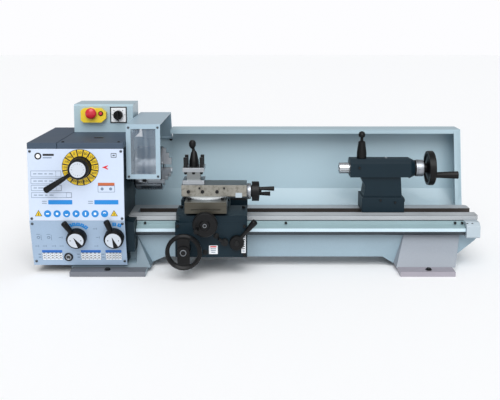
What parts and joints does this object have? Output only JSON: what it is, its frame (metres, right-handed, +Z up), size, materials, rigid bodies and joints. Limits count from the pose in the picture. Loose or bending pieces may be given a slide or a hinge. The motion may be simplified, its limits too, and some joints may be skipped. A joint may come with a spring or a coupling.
{
  "type": "bench metal lathe",
  "caption": "Bench metal lathe with headstock, three-jaw chuck, sliding carriage with compound slide, tailstock, leadscrew, chuck guard and splash guard.",
  "frame": {"origin": "under the middle of the overall box, on the floor the feet stand on", "axes": "+X from the headstock to the tailstock along the bed, -Y towards the operator, +Z up"},
  "size_m": [1.246, 0.4588, 0.455],
  "materials": {
    "cast_paint": "semi-gloss enamel on cast iron",
    "sheet_paint": "powder-coated sheet steel",
    "panel_white": "printed face panel",
    "panel_blue_grey": "printed face panel",
    "lid_grey": "textured powder coat",
    "dark_teal": "machine enamel on cast iron",
    "ground_steel": "ground",
    "bright_steel": "fine turned and ground",
    "raw_iron": "machined cast iron",
    "black_plastic": "moulded phenolic",
    "motor_paint": "painted finned aluminium",
    "belt": "moulded rubber",
    "bronze": "machined bronze",
    "yellow_plastic": "moulded",
    "red_plastic": "moulded",
    "switch_white": "moulded",
    "clear_window": "clear polycarbonate sheet"
  },
  "bodies": {
    "root": {"bed": "cast_paint", "rack": "ground_steel", "leadscrew_cover": "sheet_paint", "leadscrew_bracket": "panel_white", "headstock_casting": "dark_teal", "headstock_lid": "lid_grey", "front_panel": "panel_white", "feed_gearbox": "dark_teal", "feed_panel": "panel_blue_grey", "change_gear_arm": "cast_paint", "electrical_box": "sheet_paint", "estop_housing": "yellow_plastic", "switch_plate": "switch_white", "splash_guard": "sheet_paint", "motor": "motor_paint", "drive_belt": "belt", "front_bearing": "bright_steel", "rear_bearing": "bright_steel"},
    "spindle": {"spindle": "bright_steel", "spindle_gear": "ground_steel", "bull_gear": "ground_steel", "chuck_body": "bright_steel"},
    "scroll": {"chuck_scroll": "ground_steel"},
    "jaw_1": {"chuck_jaw_1": "ground_steel"},
    "jaw_2": {"chuck_jaw_2": "ground_steel"},
    "jaw_3": {"chuck_jaw_3": "ground_steel"},
    "input_shaft": {"input_shaft": "ground_steel"},
    "motor_pulley": {"motor_pulley": "ground_steel"},
    "idler_a": {"idler_gear_a": "ground_steel"},
    "idler_b": {"idler_gear_b": "ground_steel"},
    "leadscrew": {"leadscrew": "ground_steel", "leadscrew_gear": "ground_steel"},
    "carriage": {"saddle": "dark_teal", "apron": "dark_teal"},
    "carriage_wheel": {"carriage_handwheel": "black_plastic"},
    "rack_pinion": {"rack_pinion": "ground_steel"},
    "half_nut_lever": {"half_nut_lever": "black_plastic"},
    "half_nut": {"half_nut": "bronze"},
    "feed_knob": {"feed_knob": "bright_steel"},
    "cross_slide": {"cross_slide": "raw_iron"},
    "cross_wheel": {"cross_handwheel": "black_plastic"},
    "swivel": {"swivel_base": "bright_steel"},
    "top_slide": {"top_slide": "ground_steel"},
    "compound_wheel": {"compound_handwheel": "black_plastic"},
    "toolpost": {"toolpost": "bright_steel"},
    "toolpost_lever": {"toolpost_lever": "black_plastic"},
    "tailstock": {"tailstock_base": "dark_teal", "tailstock_body": "dark_teal"},
    "quill": {"quill": "bright_steel"},
    "tailstock_wheel": {"tailstock_handwheel": "black_plastic"},
    "quill_lock": {"quill_lock": "black_plastic"},
    "speed_lever": {"speed_lever": "black_plastic"},
    "feed_lever_left": {"feed_lever_left": "black_plastic"},
    "feed_lever_right": {"feed_lever_right": "black_plastic"},
    "switch_knob": {"switch_knob": "black_plastic"},
    "estop_button": {"estop_button": "red_plastic"},
    "chuck_guard": {"guard_frame": "sheet_paint", "guard_window": "clear_window"},
    "end_cover": {"end_cover": "lid_grey"}
  },
  "joints": [
    {"name": "spindle_turn", "type": "hinge", "parent": "root", "child": "spindle", "pos_m": [-0.017, 0.00664, 0.275], "axis": [1, 0, 0], "continuous": true},
    {"name": "scroll_turn", "type": "hinge", "parent": "spindle", "child": "scroll", "pos_m": [-0.017, 0.00664, 0.275], "axis": [1, 0, 0], "range_deg": [-430, 430]},
    {"name": "jaw_1_slide", "type": "slide", "parent": "spindle", "child": "jaw_1", "axis": [0, 0, 1], "range_m": [-0.0062, 0.0062]},
    {"name": "jaw_2_slide", "type": "slide", "parent": "spindle", "child": "jaw_2", "axis": [0, -0.866, -0.5], "range_m": [-0.0062, 0.0062]},
    {"name": "jaw_3_slide", "type": "slide", "parent": "spindle", "child": "jaw_3", "axis": [0, 0.866, -0.5], "range_m": [-0.0062, 0.0062]},
    {"name": "input_turn", "type": "hinge", "parent": "root", "child": "input_shaft", "pos_m": [-0.017, 0.00664, 0.197], "axis": [1, 0, 0], "continuous": true},
    {"name": "motor_turn", "type": "hinge", "parent": "root", "child": "motor_pulley", "pos_m": [-0.017, 0.12264, 0.205], "axis": [1, 0, 0], "continuous": true},
    {"name": "idler_a_turn", "type": "hinge", "parent": "root", "child": "idler_a", "pos_m": [-0.017, -0.0295, 0.22339], "axis": [1, 0, 0], "continuous": true},
    {"name": "idler_b_turn", "type": "hinge", "parent": "root", "child": "idler_b", "pos_m": [-0.017, -0.07558, 0.18497], "axis": [1, 0, 0], "continuous": true},
    {"name": "leadscrew_turn", "type": "hinge", "parent": "root", "child": "leadscrew", "pos_m": [-0.017, -0.07336, 0.107], "axis": [1, 0, 0], "continuous": true},
    {"name": "carriage_slide", "type": "slide", "parent": "root", "child": "carriage", "axis": [1, 0, 0], "range_m": [-0.02, 0.3]},
    {"name": "carriage_wheel_turn", "type": "hinge", "parent": "carriage", "child": "carriage_wheel", "pos_m": [-0.2006, -0.14336, 0.084], "axis": [0, 1, 0], "continuous": true},
    {"name": "rack_pinion_turn", "type": "hinge", "parent": "carriage", "child": "rack_pinion", "pos_m": [-0.1594, -0.14336, 0.092], "axis": [0, 1, 0], "continuous": true},
    {"name": "half_nut_lever_turn", "type": "hinge", "parent": "carriage", "child": "half_nut_lever", "pos_m": [-0.059, -0.14336, 0.099], "axis": [0, 1, 0], "range_deg": [0, 35.01]},
    {"name": "half_nut_slide", "type": "slide", "parent": "carriage", "child": "half_nut", "axis": [0, 0, 1], "range_m": [0, 0.0036]},
    {"name": "feed_knob_turn", "type": "hinge", "parent": "carriage", "child": "feed_knob", "pos_m": [-0.092, -0.14336, 0.1], "axis": [0, 1, 0], "range_deg": [-30, 30]},
    {"name": "cross_slide_move", "type": "slide", "parent": "carriage", "child": "cross_slide", "axis": [0, 1, 0], "range_m": [-0.018, 0.05]},
    {"name": "cross_wheel_turn", "type": "hinge", "parent": "carriage", "child": "cross_wheel", "pos_m": [-0.143, -0.14336, 0.158], "axis": [0, 1, 0], "range_deg": [-2592.1, 7200.1]},
    {"name": "swivel_turn", "type": "hinge", "parent": "cross_slide", "child": "swivel", "pos_m": [-0.143, -0.07536, 0.211], "axis": [0, 0, 1], "range_deg": [-30, 30]},
    {"name": "top_slide_move", "type": "slide", "parent": "swivel", "child": "top_slide", "axis": [-1, 0, 0], "range_m": [-0.04, 0.02]},
    {"name": "compound_wheel_turn", "type": "hinge", "parent": "top_slide", "child": "compound_wheel", "pos_m": [-0.032, -0.07536, 0.225], "axis": [-1, 0, 0], "range_deg": [-7200.1, 3600.1]},
    {"name": "toolpost_turn", "type": "hinge", "parent": "top_slide", "child": "toolpost", "pos_m": [-0.179, -0.07436, 0.25], "axis": [0, 0, 1], "continuous": true},
    {"name": "toolpost_lever_turn", "type": "hinge", "parent": "top_slide", "child": "toolpost_lever", "pos_m": [-0.179, -0.07436, 0.3], "axis": [0, 0, 1], "range_deg": [-60, 60]},
    {"name": "tailstock_slide", "type": "slide", "parent": "root", "child": "tailstock", "axis": [1, 0, 0], "range_m": [-0.25, 0.16]},
    {"name": "quill_slide", "type": "slide", "parent": "tailstock", "child": "quill", "axis": [-1, 0, 0], "range_m": [-0.02, 0.06]},
    {"name": "tailstock_wheel_turn", "type": "hinge", "parent": "tailstock", "child": "tailstock_wheel", "pos_m": [0.4895, 0.00664, 0.275], "axis": [-1, 0, 0], "range_deg": [-2880.1, 8640.1]},
    {"name": "quill_lock_turn", "type": "hinge", "parent": "tailstock", "child": "quill_lock", "pos_m": [0.299, 0.00664, 0.315], "axis": [0, 0, 1], "range_deg": [-60, 60]},
    {"name": "speed_lever_turn", "type": "hinge", "parent": "root", "child": "speed_lever", "pos_m": [-0.4805, -0.14336, 0.305], "axis": [0, 1, 0], "continuous": true},
    {"name": "feed_lever_left_turn", "type": "hinge", "parent": "root", "child": "feed_lever_left", "pos_m": [-0.496, -0.13214, 0.111], "axis": [0, 0.9727, 0.2323], "range_deg": [-25, 75]},
    {"name": "feed_lever_right_turn", "type": "hinge", "parent": "root", "child": "feed_lever_right", "pos_m": [-0.394, -0.13214, 0.111], "axis": [0, 0.9727, 0.2323], "range_deg": [-10, 40]},
    {"name": "switch_knob_turn", "type": "hinge", "parent": "root", "child": "switch_knob", "pos_m": [-0.409, 0.05564, 0.4243], "axis": [0, 1, 0], "range_deg": [-45, 45]},
    {"name": "estop_press", "type": "slide", "parent": "root", "child": "estop_button", "axis": [0, 1, 0], "range_m": [0, 0.004], "stiffness_N_per_m": 800},
    {"name": "chuck_guard_open", "type": "hinge", "parent": "root", "child": "chuck_guard", "pos_m": [-0.317, 0.21864, 0.333], "axis": [-1, 0, 0], "range_deg": [0, 80]},
    {"name": "end_cover_open", "type": "hinge", "parent": "root", "child": "end_cover", "pos_m": [-0.544, 0.16164, 0.2], "axis": [0, 0, -1], "range_deg": [0, 100]}
  ],
  "couplings": [
    {"joint": "input_turn", "follows": "spindle_turn", "ratio": -1.6},
    {"joint": "motor_turn", "follows": "spindle_turn", "ratio": -2.0923},
    {"joint": "idler_a_turn", "follows": "spindle_turn", "ratio": -1.625},
    {"joint": "idler_b_turn", "follows": "spindle_turn", "ratio": 1.0833},
    {"joint": "leadscrew_turn", "follows": "spindle_turn", "ratio": -0.92857},
    {"joint": "jaw_1_slide", "follows": "scroll_turn", "m_per_rad": 0.0008},
    {"joint": "jaw_2_slide", "follows": "scroll_turn", "m_per_rad": 0.0008},
    {"joint": "jaw_3_slide", "follows": "scroll_turn", "m_per_rad": 0.0008},
    {"joint": "rack_pinion_turn", "follows": "carriage_slide", "rad_per_m": -37.037},
    {"joint": "carriage_wheel_turn", "follows": "carriage_slide", "rad_per_m": 74.074},
    {"joint": "half_nut_lever_turn", "follows": "half_nut_slide", "rad_per_m": 169.68},
    {"joint": "cross_wheel_turn", "follows": "cross_slide_move", "rad_per_m": 2513.3},
    {"joint": "compound_wheel_turn", "follows": "top_slide_move", "rad_per_m": 3141.6},
    {"joint": "tailstock_wheel_turn", "follows": "quill_slide", "rad_per_m": 2513.3}
  ]
}
